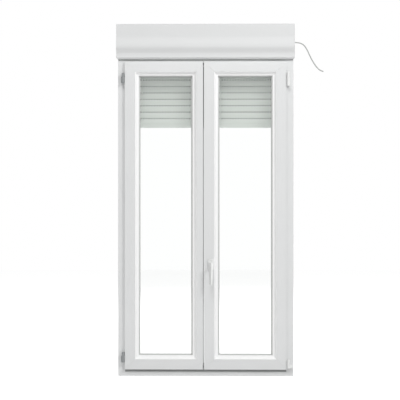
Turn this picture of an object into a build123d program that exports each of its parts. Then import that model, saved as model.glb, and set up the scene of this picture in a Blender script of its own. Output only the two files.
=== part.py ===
import os
from math import cos, pi, radians, sin, sqrt, tan

from build123d import *

os.makedirs("parts", exist_ok=True)

# Overall sizes: x to the right, y away from the room, z up from the sill
frame_width = 1000.0
frame_height = 1832.0
frame_depth = 70.0
box_height = 190.0
box_overlap = 26.0
box_front_reach = 102.0
rail_depth = 40.0
rail_width = 45.0

# Frame section
frame_face = 47.0
frame_flange = 20.0
frame_flange_depth = 15.0
frame_wall = 3.0

# Leaf section
leaf_margin = 39.0
leaf_flange = 20.0
leaf_flange_depth = 12.0
leaf_face = 57.0
leaf_stop = 28.0
leaf_stop_depth = 12.0
leaf_proud = 15.0
leaf_wall = 4.0
leaf_round = 4.0
face_gap = 3.0
meeting_gap = 5.0
meeting_x = -12.0
meeting_lip = 3.3
meeting_relief = 3.5

# Glazing
pane_thickness = 4.0
pane_space = 16.0
pane_cover = 22.0
gasket_gap = 3.0
bead_width = 23.0
bead_top_flat = 3.0
gasket_lip = 8.5
spacer_width = 8.0
spacer_inset = 3.0
block_length = 100.0
block_end = 60.0
block_ease = 1.0
soft_gap = 0.3

# How far a cutting tool runs past the piece it cuts
overcut = 1.0

# Shutter
slat_pitch = 37.0
slat_thickness = 7.5
slat_body = 30.0
slat_crown = 1.5
slat_neck = 1.4
slat_neck_length = 9.8
slat_pocket_depth = 5.0
slot_length = 9.5
slot_height = 4.0
slot_pitch = 15.6
slat_count = 13
bottom_bar_height = 20.0
bottom_bar_depth = 11.0
bar_body = 18.0
groove_depth = 34.0
groove_width = 12.0
curtain_ease = 4.0
tube_radius = 25.0
tube_wall = 1.0
roll_radius = 64.5
roll_gap = 0.75
motor_radius = 21.0

# Hardware
rod_thickness = 2.2
rod_width = 16.0
cam_radius = 5.0
keep_thickness = 3.0
hinge_radius = 7.5
pin_radius = 4.0
pin_fit = 0.05
hinge_forward = 6.0
hinge_outward = 9.0
handle_x = 30.0
handle_z = 637.0
spindle_size = 7.0
lever_drop = 115.0

# Places worked out from the sizes above
half_width = frame_width / 2
half_depth = frame_depth / 2
box_top = frame_height - box_overlap + box_height
box_low = frame_height - box_overlap
room_face = -half_depth
leaf_front = room_face - leaf_proud
leaf_back = room_face - face_gap + 55.0
flange_back = leaf_front + leaf_flange_depth
stop_front = leaf_back - leaf_stop_depth
pane_back = stop_front - gasket_gap
pane_front = pane_back - 2 * pane_thickness - pane_space
bead_back = pane_front - gasket_gap
pane_edge = leaf_face + leaf_stop - pane_cover
glass_start = leaf_face + bead_width + gasket_lip

roll_z = (frame_height + box_top) / 2
first_slat = roll_z - slat_body - (slat_count - 1) * slat_pitch
curtain_bottom = first_slat - bottom_bar_height

frame_bounds = (-half_width, half_width, 0.0, frame_height)
right_bounds = (
    meeting_x + meeting_gap / 2,
    half_width - leaf_margin,
    leaf_margin,
    frame_height - leaf_margin,
)
left_edge = meeting_x - meeting_gap / 2
left_bounds = (
    -half_width + leaf_margin,
    left_edge + leaf_flange,
    leaf_margin,
    frame_height - leaf_margin,
)
right_axis_x = right_bounds[1] + hinge_outward
left_axis_x = left_bounds[0] - hinge_outward
axis_y = leaf_front - hinge_forward


def save(name, shape):
    shape.label = name
    export_step(shape, f"parts/{name}.step")


def group(*shapes):
    return Compound([solid for shape in shapes for solid in shape.solids()])


def block(x0, x1, y0, y1, z0, z1):
    with BuildPart() as piece:
        with BuildSketch(Plane.XY.offset(z0)):
            with Locations(((x0 + x1) / 2, (y0 + y1) / 2)):
                Rectangle(x1 - x0, y1 - y0)
        extrude(amount=z1 - z0)
    return piece.part


def section_point(side, bounds, u, y):
    x0, x1, z0, z1 = bounds
    places = {"left": (x0 + u, y), "right": (x1 - u, y), "bottom": (y, z0 + u), "top": (y, z1 - u)}
    return places[side]


# A straight bar of a mitred ring; sections are given as (distance inwards, y)
def ring_bar(side, bounds, outline, chambers=(), rounds=()):
    x0, x1, z0, z1 = bounds
    upright = side in ("left", "right")
    start = Plane.XY.offset(z0) if upright else Plane.YZ.offset(x0)
    length = z1 - z0 if upright else x1 - x0
    depth = max(u for u, _ in outline) + 1.0
    corners = {
        "left": [(x0, z0), (x0 + depth, z0 + depth), (x0 + depth, z1 - depth), (x0, z1)],
        "right": [(x1, z0), (x1 - depth, z0 + depth), (x1 - depth, z1 - depth), (x1, z1)],
        "bottom": [(x0, z0), (x0 + depth, z0 + depth), (x1 - depth, z0 + depth), (x1, z0)],
        "top": [(x0, z1), (x0 + depth, z1 - depth), (x1 - depth, z1 - depth), (x1, z1)],
    }
    with BuildPart() as bar:
        with BuildSketch(start) as section:
            with BuildLine():
                Polyline([section_point(side, bounds, u, y) for u, y in outline], close=True)
            make_face()
            for u, y, radius in rounds:
                place = start.from_local_coords(Vector(*section_point(side, bounds, u, y)))
                fillet(section.vertices().sort_by_distance(place)[0], radius)
            for u0, u1, y0, y1 in chambers:
                low = section_point(side, bounds, u0, y0)
                high = section_point(side, bounds, u1, y1)
                with Locations(((low[0] + high[0]) / 2, (low[1] + high[1]) / 2)):
                    Rectangle(abs(high[0] - low[0]), abs(high[1] - low[1]), mode=Mode.SUBTRACT)
        extrude(amount=length)
        with BuildSketch(Plane.XZ):
            with BuildLine():
                Polyline(corners[side], close=True)
            make_face()
        extrude(amount=2 * frame_depth, both=True, mode=Mode.INTERSECT)
    return bar.part


# A closed rectangular ring of plain section, such as a gasket or a spacer
def flat_ring(bounds, u0, u1, y0, y1):
    x0, x1, z0, z1 = bounds
    with BuildPart() as ring:
        with BuildSketch(Plane.XZ.offset(-y1)):
            with Locations(((x0 + x1) / 2, (z0 + z1) / 2)):
                Rectangle(x1 - x0 - 2 * u0, z1 - z0 - 2 * u0)
                Rectangle(x1 - x0 - 2 * u1, z1 - z0 - 2 * u1, mode=Mode.SUBTRACT)
        extrude(amount=y1 - y0)
    return ring.part


def upright_rod(x, y, z0, z1, radius, bore=0.0):
    with BuildPart() as rod:
        with BuildSketch(Plane.XY.offset(z0)):
            with Locations((x, y)):
                Circle(radius)
                if bore:
                    Circle(bore, mode=Mode.SUBTRACT)
        extrude(amount=z1 - z0)
    return rod.part


def cross_rod(x0, x1, y, z, radius, bore=0.0):
    with BuildPart() as rod:
        with BuildSketch(Plane.YZ.offset(x0)):
            with Locations((y, z)):
                Circle(radius)
                if bore:
                    Circle(bore, mode=Mode.SUBTRACT)
        extrude(amount=x1 - x0)
    return rod.part


# Frame: four hollow bars, mitred and welded
frame_outline = [
    (0, room_face),
    (frame_face, room_face),
    (frame_face, half_depth - frame_flange_depth),
    (frame_face + frame_flange, half_depth - frame_flange_depth),
    (frame_face + frame_flange, half_depth),
    (0, half_depth),
]
flange_front = half_depth - frame_flange_depth
frame_chambers = [
    (frame_wall, frame_face - frame_wall, room_face + frame_wall, -frame_wall / 2),
    (frame_wall, frame_face - frame_wall, frame_wall / 2, flange_front - frame_wall / 2),
    (
        frame_wall,
        frame_face + frame_flange - frame_wall,
        flange_front + frame_wall,
        half_depth - frame_wall,
    ),
]
frame_round = 2.0
frame_rounds = [(frame_face, room_face, frame_round)]
frame_bars = {
    side: ring_bar(side, frame_bounds, frame_outline, frame_chambers, frame_rounds)
    for side in ("left", "right", "top", "bottom")
}

# Bolt holes through the jambs into the wall
fixing_radius = 4.0
fixing_end = 250.0
fixing_count = 4
fixing_y = 11.0
fixing_step = (frame_height - 2 * fixing_end) / (fixing_count - 1)
for side, sign in (("left", -1), ("right", 1)):
    for number in range(fixing_count):
        height = fixing_end + number * fixing_step
        inner = sign * (half_width - frame_face)
        outer = sign * half_width
        frame_bars[side] -= cross_rod(
            min(inner, outer) - overcut,
            max(inner, outer) + overcut,
            fixing_y,
            height,
            fixing_radius,
        )

# The head has a keyhole for the left leaf's top bolt, the sill one for its bottom bolt
bolt_radius = 4.0
bolt_inset = 14.0
bolt_depth = 42.0
bolt_x = left_edge - bolt_inset
bolt_y = leaf_front + bolt_depth
bolt_hole_clearance = 1.0
bolt_hole_depth = 30.0
bolt_hole = bolt_radius + bolt_hole_clearance
head_low = frame_height - frame_face
frame_bars["top"] -= upright_rod(
    bolt_x, bolt_y, head_low - overcut, head_low + bolt_hole_depth, bolt_hole
)
frame_bars["bottom"] -= upright_rod(
    bolt_x, bolt_y, frame_face - bolt_hole_depth, frame_face + overcut, bolt_hole
)
save("frame_head", frame_bars["top"])
save("frame_sill", frame_bars["bottom"])
save("frame_jamb_left", frame_bars["left"])
save("frame_jamb_right", frame_bars["right"])

# Outer gasket on the frame's flange
seal_width = 5.0
seal_edge = frame_face + frame_flange - 1.0
frame_seals = flat_ring(
    frame_bounds,
    seal_edge - seal_width,
    seal_edge,
    leaf_back + soft_gap,
    flange_front,
)
save("frame_seals", frame_seals)

# Leaves: four hollow bars each, with beads, panes, spacer, seals and blocks
leaf_outline = [
    (0, leaf_front),
    (leaf_face, leaf_front),
    (leaf_face, stop_front),
    (leaf_face + leaf_stop, stop_front),
    (leaf_face + leaf_stop, leaf_back),
    (leaf_flange, leaf_back),
    (leaf_flange, flange_back),
    (0, flange_back),
]
chamber_low = leaf_flange + leaf_wall + meeting_relief
chamber_high = leaf_face - leaf_wall
middle_web = leaf_front + 30.0
leaf_chambers = [
    (chamber_low, chamber_high, leaf_front + leaf_wall, middle_web),
    (chamber_low, chamber_high, middle_web + leaf_wall, stop_front - leaf_wall),
    (
        chamber_low,
        leaf_face + leaf_stop - leaf_wall,
        stop_front + leaf_wall,
        leaf_back - leaf_wall,
    ),
]
leaf_rounds = [(0, leaf_front, leaf_round)]
bead_nose = 3.0
bead_outline = [
    (leaf_face, leaf_front),
    (leaf_face + bead_top_flat, leaf_front),
    (leaf_face + bead_width, bead_back - bead_nose),
    (leaf_face + bead_width, bead_back),
    (leaf_face, bead_back),
]
lip_root = leaf_face + bead_width - 6.0
lip_tip = 1.0
lip_outline = [
    (lip_root, bead_back),
    (leaf_face + bead_width, bead_back),
    (glass_start, pane_front - lip_tip),
    (glass_start, pane_front),
    (lip_root, pane_front),
]
stop_edge = leaf_face + leaf_stop
back_gasket_width = 6.0
back_gasket = (stop_edge - back_gasket_width, stop_edge, pane_back, stop_front)
seal_inset = 2.0
sash_seal = (seal_inset, seal_inset + seal_width, flange_back, room_face - soft_gap)
sides = ("left", "right", "top", "bottom")

# The left leaf's meeting stile has no flange, only a short lip behind its edge
trim_over = 10.0
trim_far = left_bounds[1] + trim_over
trim_low = leaf_margin - trim_over
trim_high = frame_height - leaf_margin + trim_over
lip_edge = left_edge + meeting_lip
lip_back = flange_back + 7.0
lip_end = 12.0
left_trims = [
    block(left_edge, trim_far, leaf_front - trim_over, flange_back, trim_low, trim_high),
    block(
        left_edge - meeting_relief,
        trim_far,
        lip_back,
        leaf_back + trim_over,
        trim_low,
        trim_high,
    ),
]


def trimmed(shape, trims):
    for trim in trims:
        shape -= trim
    return shape


def glazing(bounds):
    x0, x1, z0, z1 = bounds
    width = x1 - x0 - 2 * pane_edge
    height = z1 - z0 - 2 * pane_edge
    sheets = []
    for back in (pane_back, pane_front + pane_thickness):
        with BuildPart() as sheet:
            with BuildSketch(Plane.XZ.offset(-back)):
                with Locations(((x0 + x1) / 2, (z0 + z1) / 2)):
                    Rectangle(width, height)
            extrude(amount=pane_thickness)
        sheets.append(sheet.part)
    beads = group(*[ring_bar(side, bounds, bead_outline) for side in sides])
    spacer = flat_ring(
        bounds,
        pane_edge + spacer_inset,
        pane_edge + spacer_inset + spacer_width,
        pane_front + pane_thickness,
        pane_back - pane_thickness,
    )
    blocks = []
    near_x = x0 + pane_edge + block_end
    far_x = x1 - pane_edge - block_end - block_length
    block_y = (pane_front + block_ease, pane_back - block_ease)
    for end_x in (near_x, far_x):
        low_z = z0 + leaf_face
        high_z = z1 - pane_edge + soft_gap
        for z_start in (low_z, high_z):
            z_end = z_start + pane_edge - leaf_face - soft_gap
            blocks.append(block(end_x, end_x + block_length, *block_y, z_start, z_end))
    return group(*sheets), beads, spacer, group(*blocks)


def leaf_bars(bounds):
    return {
        side: ring_bar(side, bounds, leaf_outline, leaf_chambers, leaf_rounds) for side in sides
    }


def save_leaf(name, bars, glass, seals):
    panes, beads, spacer, blocks = glass
    save(f"{name}_top_rail", bars["top"])
    save(f"{name}_bottom_rail", bars["bottom"])
    save(f"{name}_beads", beads)
    save(f"{name}_panes", panes)
    save(f"{name}_pane_spacer", spacer)
    save(f"{name}_glazing_blocks", blocks)
    save(f"{name}_seals", seals)


def leaf_seals(bounds, notches):
    outer = trimmed(flat_ring(bounds, *sash_seal), notches)
    lips = group(*[ring_bar(side, bounds, lip_outline) for side in sides])
    return group(outer, lips, flat_ring(bounds, *back_gasket))


# Hinge heights, shared by the frame halves and the leaf halves
plate_back = room_face - soft_gap
plate_front = flange_back + soft_gap
stay_low = frame_height - 133.5
stay_high = stay_low + 35.0
corner_low = 66.0
corner_high = corner_low + 28.0
left_hinge_starts = (80.0, frame_height - 162.0)
left_lower_knuckle = 36.0
left_upper_knuckle = 20.0
notch_room = 3.0
notch_depth = 20.0

# Right leaf, with the pocket for the gearbox and the hole for the spindle
right_body = right_bounds[0] + leaf_flange
gearbox_width = 30.0
gearbox_half = 50.0
gearbox_x = (right_body + soft_gap, right_body + gearbox_width)
gearbox_y = (leaf_front + leaf_wall + 9.0, leaf_front + leaf_wall + 25.0)
gearbox_z = (handle_z - gearbox_half, handle_z + gearbox_half)
spindle_hole = 6.5
screw_radius = 2.5
screw_spread = 21.5
right_bars = leaf_bars(right_bounds)
right_bars["left"] -= block(
    right_body - overcut,
    gearbox_x[1] + soft_gap,
    gearbox_y[0] - soft_gap,
    gearbox_y[1] + soft_gap,
    gearbox_z[0] - soft_gap,
    gearbox_z[1] + soft_gap,
)


# A round bar or bore that points into the room
def deep_rod(x, z, y0, y1, radius, bore=0.0):
    with BuildPart() as rod:
        with BuildSketch(Plane.XZ.offset(-y1)):
            with Locations((x, z)):
                Circle(radius)
                if bore:
                    Circle(bore, mode=Mode.SUBTRACT)
        extrude(amount=y1 - y0)
    return rod.part


right_bars["left"] -= deep_rod(
    handle_x, handle_z, leaf_front - overcut, gearbox_y[0], spindle_hole
)
for offset_z in (-screw_spread, screw_spread):
    right_bars["left"] -= deep_rod(
        handle_x,
        handle_z + offset_z,
        leaf_front - overcut,
        leaf_front + leaf_wall + overcut,
        screw_radius,
    )
save("right_hinge_stile", right_bars["right"])
save("right_lock_stile", right_bars["left"])
right_notches = [
    block(
        right_bounds[1] - notch_depth,
        right_bounds[1],
        flange_back - overcut,
        room_face,
        low,
        high,
    )
    for low, high in (
        (stay_low - notch_room, stay_high + notch_room),
        (corner_low - notch_room, corner_high + notch_room),
    )
]
save_leaf("right", right_bars, glazing(right_bounds), leaf_seals(right_bounds, right_notches))

# Left leaf, with the lip behind its meeting edge and the channels of its two bolts
left_bars = {side: trimmed(bar, left_trims) for side, bar in leaf_bars(left_bounds).items()}
body_low = left_bounds[2] + leaf_flange
body_high = left_bounds[3] - leaf_flange
left_bars["right"] += block(
    left_edge - overcut,
    lip_edge,
    flange_back + overcut,
    lip_back,
    body_low + lip_end,
    body_high - lip_end,
)
bolt_length = 213.0
bolt_tab = 22.0
bolt_fit = 0.35
bolt_slot_half = 3.0
bolt_slot_y = (bolt_y - bolt_slot_half, bolt_y + bolt_slot_half)
bolt_tip_gap = 1.5
top_tip = head_low - bolt_tip_gap
bottom_tip = frame_face + bolt_tip_gap
top_bolt_z = (top_tip - bolt_length, top_tip)
bottom_bolt_z = (bottom_tip, bottom_tip + bolt_length)
bore_cuts = [
    upright_rod(bolt_x, bolt_y, top_bolt_z[0], body_high + overcut, bolt_radius + bolt_fit),
    upright_rod(bolt_x, bolt_y, body_low - overcut, bottom_bolt_z[1], bolt_radius + bolt_fit),
]
slot_edge = left_edge - meeting_relief
slot_cuts = [
    block(bolt_x, slot_edge + overcut, *bolt_slot_y, low, high)
    for low, high in (
        (top_bolt_z[0] - overcut, top_bolt_z[0] + 2 * bolt_tab),
        (bottom_bolt_z[1] - 2 * bolt_tab, bottom_bolt_z[1] + overcut),
    )
]
left_bars["top"] = trimmed(left_bars["top"], bore_cuts)
left_bars["bottom"] = trimmed(left_bars["bottom"], bore_cuts)
left_bars["right"] = trimmed(left_bars["right"], bore_cuts + slot_cuts)
save("left_hinge_stile", left_bars["left"])
save("left_meeting_stile", left_bars["right"])
left_notches = [
    block(
        left_bounds[0],
        left_bounds[0] + notch_depth,
        flange_back - overcut,
        room_face,
        low,
        high,
    )
    for low, high in [
        (start - notch_room, start + left_lower_knuckle + left_upper_knuckle + notch_room)
        for start in left_hinge_starts
    ]
]
left_notches.append(
    block(
        left_edge - meeting_relief - 0.5,
        trim_far,
        flange_back - overcut,
        room_face,
        trim_low,
        trim_high,
    )
)
save_leaf("left", left_bars, glazing(left_bounds), leaf_seals(left_bounds, left_notches))

# Sliding bolts inside the left leaf's meeting stile, each with a thumb tab
tab_face = slot_edge - soft_gap
tab_y = (bolt_slot_y[0] + bolt_fit, bolt_slot_y[1] - bolt_fit)
top_bolt = upright_rod(bolt_x, bolt_y, *top_bolt_z, bolt_radius) + block(
    bolt_x, tab_face, *tab_y, top_bolt_z[0], top_bolt_z[0] + bolt_tab
)
save("left_top_bolt", top_bolt)
bottom_bolt = upright_rod(bolt_x, bolt_y, *bottom_bolt_z, bolt_radius) + block(
    bolt_x, tab_face, *tab_y, bottom_bolt_z[1] - bolt_tab, bottom_bolt_z[1]
)
save("left_bottom_bolt", bottom_bolt)

# Keeps: on the meeting stile of the left leaf, and in the frame's head and sill
cam_heights = (260.0, 860.0, 1240.0, 1590.0)
keep_tail = 12.0
keep_lead = 48.0
keep_half = 9.0
cam_y = leaf_front + 22.0
left_keep_y = (lip_back + 1.0, lip_back + 23.0)
left_keeps = [
    block(
        slot_edge, slot_edge + keep_thickness, *left_keep_y, height - keep_tail, height + keep_lead
    )
    for height in cam_heights
]
save("left_keeps", group(*left_keeps))
bottom_cam_x = (120.0, 340.0)
top_cam_x = 72.0
top_cam_y = leaf_front + 52.0
keep_front = room_face + 0.5
sill_keep_z = (frame_face, frame_face + keep_thickness)
frame_keeps = [
    block(x - keep_lead, x + keep_tail, keep_front, cam_y + keep_half, *sill_keep_z)
    for x in bottom_cam_x
]
frame_keeps.append(
    block(
        top_cam_x - keep_lead,
        top_cam_x + keep_tail,
        top_cam_y - keep_half,
        top_cam_y + keep_half,
        head_low - keep_thickness,
        head_low,
    )
)
save("frame_keeps", group(*frame_keeps))

# Drive rods of the right leaf, each a flat bar with mushroom cams
rod_seat = 0.2
rod_x = (right_body - rod_seat - rod_thickness, right_body - rod_seat)
rod_y = (cam_y - rod_width / 2, cam_y + rod_width / 2)
lock_rod_z = (160.0, 1650.0)
top_rod_end = 400.0
bottom_rod_x = (80.0, 380.0)
cam_head = 3.0
cam_tip = meeting_x + 3.0
lock_rod = block(*rod_x, *rod_y, *lock_rod_z)
for height in cam_heights:
    lock_rod += cross_rod(cam_tip, rod_x[0], cam_y, height, cam_radius / 2)
    lock_rod += cross_rod(cam_tip, cam_tip + cam_head, cam_y, height, cam_radius)
save("lock_rod", lock_rod)
top_rod_z = (body_high + rod_seat, body_high + rod_seat + rod_thickness)
top_rod_y = (rod_y[0] + 2.0, rod_y[1])
cam_arm_half = 10.0
cam_keep_gap = 1.5
top_cam_z = head_low - keep_thickness - cam_keep_gap
top_rod = block(top_cam_x - 12.0, top_rod_end, *top_rod_y, *top_rod_z)
top_rod += block(
    top_cam_x - cam_arm_half,
    top_cam_x + cam_arm_half,
    top_rod_y[1],
    top_cam_y + 6.0,
    *top_rod_z,
)
top_rod += upright_rod(top_cam_x, top_cam_y, top_rod_z[1], top_cam_z, cam_radius)
save("top_rod", top_rod)
bottom_rod_z = (body_low - rod_seat - rod_thickness, body_low - rod_seat)
bottom_cam_z = frame_face + keep_thickness + 1.0
bottom_rod = block(*bottom_rod_x, *rod_y, *bottom_rod_z)
for x in bottom_cam_x:
    bottom_rod += upright_rod(x, cam_y, bottom_cam_z, bottom_rod_z[0], cam_radius)
save("bottom_rod", bottom_rod)

# Gearbox, rosette, screws, lever and spindle
spindle_corner = spindle_size / sqrt(2)
spindle_fit = 0.35
gearbox = block(*gearbox_x, *gearbox_y, *gearbox_z)
gearbox -= deep_rod(
    handle_x,
    handle_z,
    gearbox_y[0] - overcut,
    gearbox_y[1] + overcut,
    spindle_corner + spindle_fit,
)
save("right_gearbox", gearbox)
rosette_width = 31.0
rosette_height = 62.0
rosette_depth = 10.0
rosette_corner = 7.0
rosette_round = 2.5
screw_head_radius = 4.5
screw_head_depth = 2.5
screw_sink = 3.0
neck_radius = 8.0
neck_fit = 0.35
lever_front = 58.0
lever_depth = 12.0
lever_top_radius = 12.0
lever_end_radius = 8.5
lever_front_round = 5.0
lever_back_round = 4.0
neck_end_gap = 2.0
rosette_front = leaf_front - rosette_depth
with BuildPart() as rosette:
    with BuildSketch(Plane.XZ.offset(-leaf_front)):
        with Locations((handle_x, handle_z)):
            RectangleRounded(rosette_width, rosette_height, rosette_corner)
    extrude(amount=rosette_depth)
    fillet(rosette.faces().sort_by(Axis.Y)[0].edges(), rosette_round)
handle_rosette = rosette.part - deep_rod(
    handle_x, handle_z, rosette_front - overcut, leaf_front + overcut, neck_radius + neck_fit
)
screws = []
for offset_z in (-screw_spread, screw_spread):
    height = handle_z + offset_z
    screw_y = (rosette_front + screw_sink, leaf_front + leaf_wall)
    head_back = screw_y[0] + screw_head_depth
    cut_y = rosette_front - overcut
    screw = deep_rod(handle_x, height, *screw_y, screw_radius)
    screw += deep_rod(handle_x, height, screw_y[0], head_back, screw_head_radius)
    handle_rosette -= deep_rod(handle_x, height, cut_y, leaf_front + overcut, screw_radius)
    handle_rosette -= deep_rod(handle_x, height, cut_y, head_back, screw_head_radius)
    screws.append(screw)
save("handle_rosette", handle_rosette)
save("handle_screws", group(*screws))
lever_y = leaf_front - lever_front
socket_size = spindle_size + 0.2
spindle_y = (lever_y + 15.0, gearbox_y[1])
with BuildPart() as lever:
    with BuildSketch(Plane.XZ.offset(-lever_y - lever_depth)):
        with Locations((handle_x, handle_z)):
            Circle(lever_top_radius)
        with Locations((handle_x, handle_z - lever_drop + lever_end_radius)):
            Circle(lever_end_radius)
        make_hull()
    extrude(amount=lever_depth)
    fillet(lever.faces().sort_by(Axis.Y)[0].edges(), lever_front_round)
    fillet(lever.faces().sort_by(Axis.Y)[-1].edges(), lever_back_round)
    with BuildSketch(Plane.XZ.offset(-lever_y - lever_depth)):
        with Locations((handle_x, handle_z)):
            Circle(neck_radius)
    extrude(amount=-(lever_front - lever_depth - neck_end_gap))
    with BuildSketch(Plane.XZ.offset(-leaf_front)):
        with Locations((handle_x, handle_z)):
            Rectangle(socket_size, socket_size)
    extrude(amount=leaf_front - spindle_y[0], mode=Mode.SUBTRACT)
save("handle_lever", lever.part)
spindle_half = spindle_size / 2
spindle = block(
    handle_x - spindle_half,
    handle_x + spindle_half,
    *spindle_y,
    handle_z - spindle_half,
    handle_z + spindle_half,
)
save("handle_spindle", spindle)

# Hinges of the right leaf: stay above, corner hinge and pivot below
reach_x = (right_bounds[1] - leaf_flange + 6.0, right_bounds[1] - leaf_flange + 10.0)
inner_y = leaf_front + 30.0
web_inward = 6.0
web_outward = 0.5
bore = pin_radius + pin_fit


def hinge_half(axis_x, low, high, sign):
    half = upright_rod(axis_x, axis_y, low, high, hinge_radius)
    edges = sorted((axis_x + sign * web_outward, axis_x - sign * web_inward))
    half += block(*edges, axis_y, plate_back, low, high)
    inner = axis_x - sign * (right_axis_x - reach_x[0])
    outer = sorted((inner, axis_x + sign * web_outward))
    half += block(*outer, plate_front, plate_back, low, high)
    half -= upright_rod(axis_x, axis_y, low - overcut, high + overcut, bore)
    return half


stay_z = (body_high + 4.4, body_high + 7.4)
stay_reach = 400.0
stay_back = 6.0
slider_half = 16.0
slider_over = 1.0
corner_leg_start = 400.0
corner_leg_back = 3.0
stay_arm = hinge_half(right_axis_x, stay_low, stay_high, 1)
stay_arm += block(*reach_x, plate_front, inner_y, stay_low, stay_z[1])
stay_arm += block(
    right_axis_x - stay_reach, reach_x[1], plate_front + stay_back, inner_y, *stay_z
)
stay_arm += block(
    right_axis_x - stay_reach - slider_half,
    right_axis_x - stay_reach + slider_half,
    plate_front + stay_back - slider_over,
    inner_y + 2 * slider_over,
    stay_z[0] - 0.2,
    stay_z[1] + slider_over,
)
save("stay_arm", stay_arm)
corner_leg_z = (frame_face + 3.0, frame_face + 7.0)
corner_hinge = hinge_half(right_axis_x, corner_low, corner_high, 1)
corner_hinge += block(*reach_x, plate_front, inner_y, corner_leg_z[0], corner_high)
corner_hinge += block(
    corner_leg_start, reach_x[1], plate_front + corner_leg_back, inner_y, *corner_leg_z
)
save("right_corner_hinge", corner_hinge)


plate_inset = 2.0


def frame_hinge(axis_x, low, high, pin_top, plate_x, sign):
    half = upright_rod(axis_x, axis_y, low, high, hinge_radius)
    plate = sorted((axis_x - sign * web_inward, plate_x))
    half += block(*plate, axis_y + plate_inset, room_face, low, high)
    half += upright_rod(axis_x, axis_y, high, pin_top, pin_radius)
    return half


plate_outward = 11.0
pivot_outward = 24.0
top_plate_height = 46.0
pivot_height = 18.0
pin_over = 2.0
top_frame_hinge = frame_hinge(
    right_axis_x,
    stay_low - top_plate_height,
    stay_low - soft_gap,
    stay_high + pin_over,
    right_axis_x + plate_outward,
    1,
)
bottom_pivot = frame_hinge(
    right_axis_x,
    corner_low - pivot_height,
    corner_low - soft_gap,
    corner_high + pin_over,
    right_axis_x + pivot_outward,
    1,
)
save("right_frame_hinges", group(top_frame_hinge, bottom_pivot))

# Hinges of the left leaf
left_body = left_bounds[0] + leaf_flange
left_plate_x = left_axis_x - plate_outward
left_frame_parts = []
left_sash_parts = []
for start in left_hinge_starts:
    split = start + left_lower_knuckle
    end = split + left_upper_knuckle
    left_frame_parts.append(
        frame_hinge(left_axis_x, start, split - soft_gap, end + pin_over, left_plate_x, -1)
    )
    sash_half = hinge_half(left_axis_x, split, end, -1)
    sash_half += block(-reach_x[1], left_body, plate_front, inner_y, split, end)
    left_sash_parts.append(sash_half)
save("left_frame_hinges", group(*left_frame_parts))
save("left_sash_hinges", group(*left_sash_parts))

# Guide rails on the frame's outer face, each with the groove for the curtain
groove_y = half_depth + rail_depth / 2
for side, sign in (("left", -1), ("right", 1)):
    outer = sorted((sign * half_width, sign * (half_width - rail_width)))
    groove_inner = sign * (half_width - rail_width)
    groove_x = sorted((groove_inner - sign * overcut, groove_inner + sign * groove_depth))
    rail = block(*outer, half_depth, half_depth + rail_depth, 0.0, frame_height)
    rail -= block(
        *groove_x,
        groove_y - groove_width / 2,
        groove_y + groove_width / 2,
        -overcut,
        frame_height + overcut,
    )
    save(f"guide_rail_{side}", rail)

# Shutter box: top, outer, base and front panels, end caps and insulation
panel = 6.0
cap_thickness = 3.0
back_cover = 3.0
slit_end = 10.0
slit_ease = 1.0
box_front = room_face - box_front_reach
box_back = half_depth + rail_depth + back_cover
bulge = 11.5
bulge_z = (box_low + 30.0, box_low + 62.0, box_top - 57.0)
front_lip = 2.0
lip_height = 9.0


def yz_panel(x0, length, path):
    with BuildPart() as sheet:
        with BuildSketch(Plane.YZ.offset(x0)):
            with BuildLine():
                path()
            make_face()
        extrude(amount=length)
    return sheet.part


def front_curve(top):
    Polyline((box_front, top), (box_front, bulge_z[2]))
    Spline(
        (box_front, bulge_z[2]),
        (box_front - bulge, bulge_z[1]),
        (box_front, bulge_z[0]),
        tangents=[(0, -1), (0, -1), (0, -1)],
    )
    Polyline(
        (box_front, bulge_z[0]),
        (box_front, box_low + lip_height),
        (box_front - front_lip, box_low + lip_height - front_lip),
        (box_front - front_lip, box_low),
    )


def front_panel_path():
    top = box_top - panel
    front_curve(top)
    inner = box_front + panel
    Polyline((box_front - front_lip, box_low), (inner, box_low), (inner, top), (box_front, top))


def cap_path():
    front_curve(box_top)
    Polyline(
        (box_front - front_lip, box_low),
        (room_face, box_low),
        (room_face, frame_height),
        (box_back, frame_height),
        (box_back, box_top),
        (box_front, box_top),
    )


def base_path():
    inner = box_front + panel
    Polyline(
        (inner, box_low),
        (room_face, box_low),
        (room_face, frame_height),
        (box_back - panel, frame_height),
        (box_back - panel, frame_height + panel),
        (room_face - panel, frame_height + panel),
        (room_face - panel, box_low + panel),
        (inner, box_low + panel),
        close=True,
    )


save("box_front_panel", yz_panel(-half_width, frame_width, front_panel_path))
base = yz_panel(-half_width, frame_width, base_path)
base -= block(
    -half_width + slit_end,
    half_width - slit_end,
    groove_y - groove_width / 2 - slit_ease,
    groove_y + groove_width / 2 + slit_ease,
    frame_height - overcut,
    frame_height + panel + overcut,
)
save("box_base_panel", base)
save(
    "box_outer_panel",
    block(-half_width, half_width, box_back - panel, box_back, frame_height, box_top - panel),
)
save(
    "box_top_panel",
    block(-half_width, half_width, box_front, box_back, box_top - panel, box_top),
)
cable_y = -25.0
cable_z = box_low + 96.0
cable_radius = 3.5
grommet_radius = 6.0
grommet_rim = 3.0
grommet_flange = 2.0
cap_left = yz_panel(-half_width - cap_thickness, cap_thickness, cap_path)
cap_right = yz_panel(half_width, cap_thickness, cap_path)
cap_face = half_width + cap_thickness
cap_right -= cross_rod(
    half_width - overcut, cap_face + overcut, cable_y, cable_z, grommet_radius
)
save("box_end_cap_left", cap_left)
save("box_end_cap_right", cap_right)
roll_y = groove_y - slat_thickness / 2 - roll_gap - roll_radius
foam_back = roll_y - roll_radius - 5.0
foam_end = 2.0
save(
    "box_insulation",
    block(
        -half_width + foam_end,
        half_width - foam_end,
        box_front + panel,
        foam_back,
        box_low + panel,
        box_top - panel,
    ),
)

# Roller: octagonal tube, end plug and drive wheel, with the wound part of the curtain
tube_half = half_width - 30.0
wound_inset = 12.0


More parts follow.
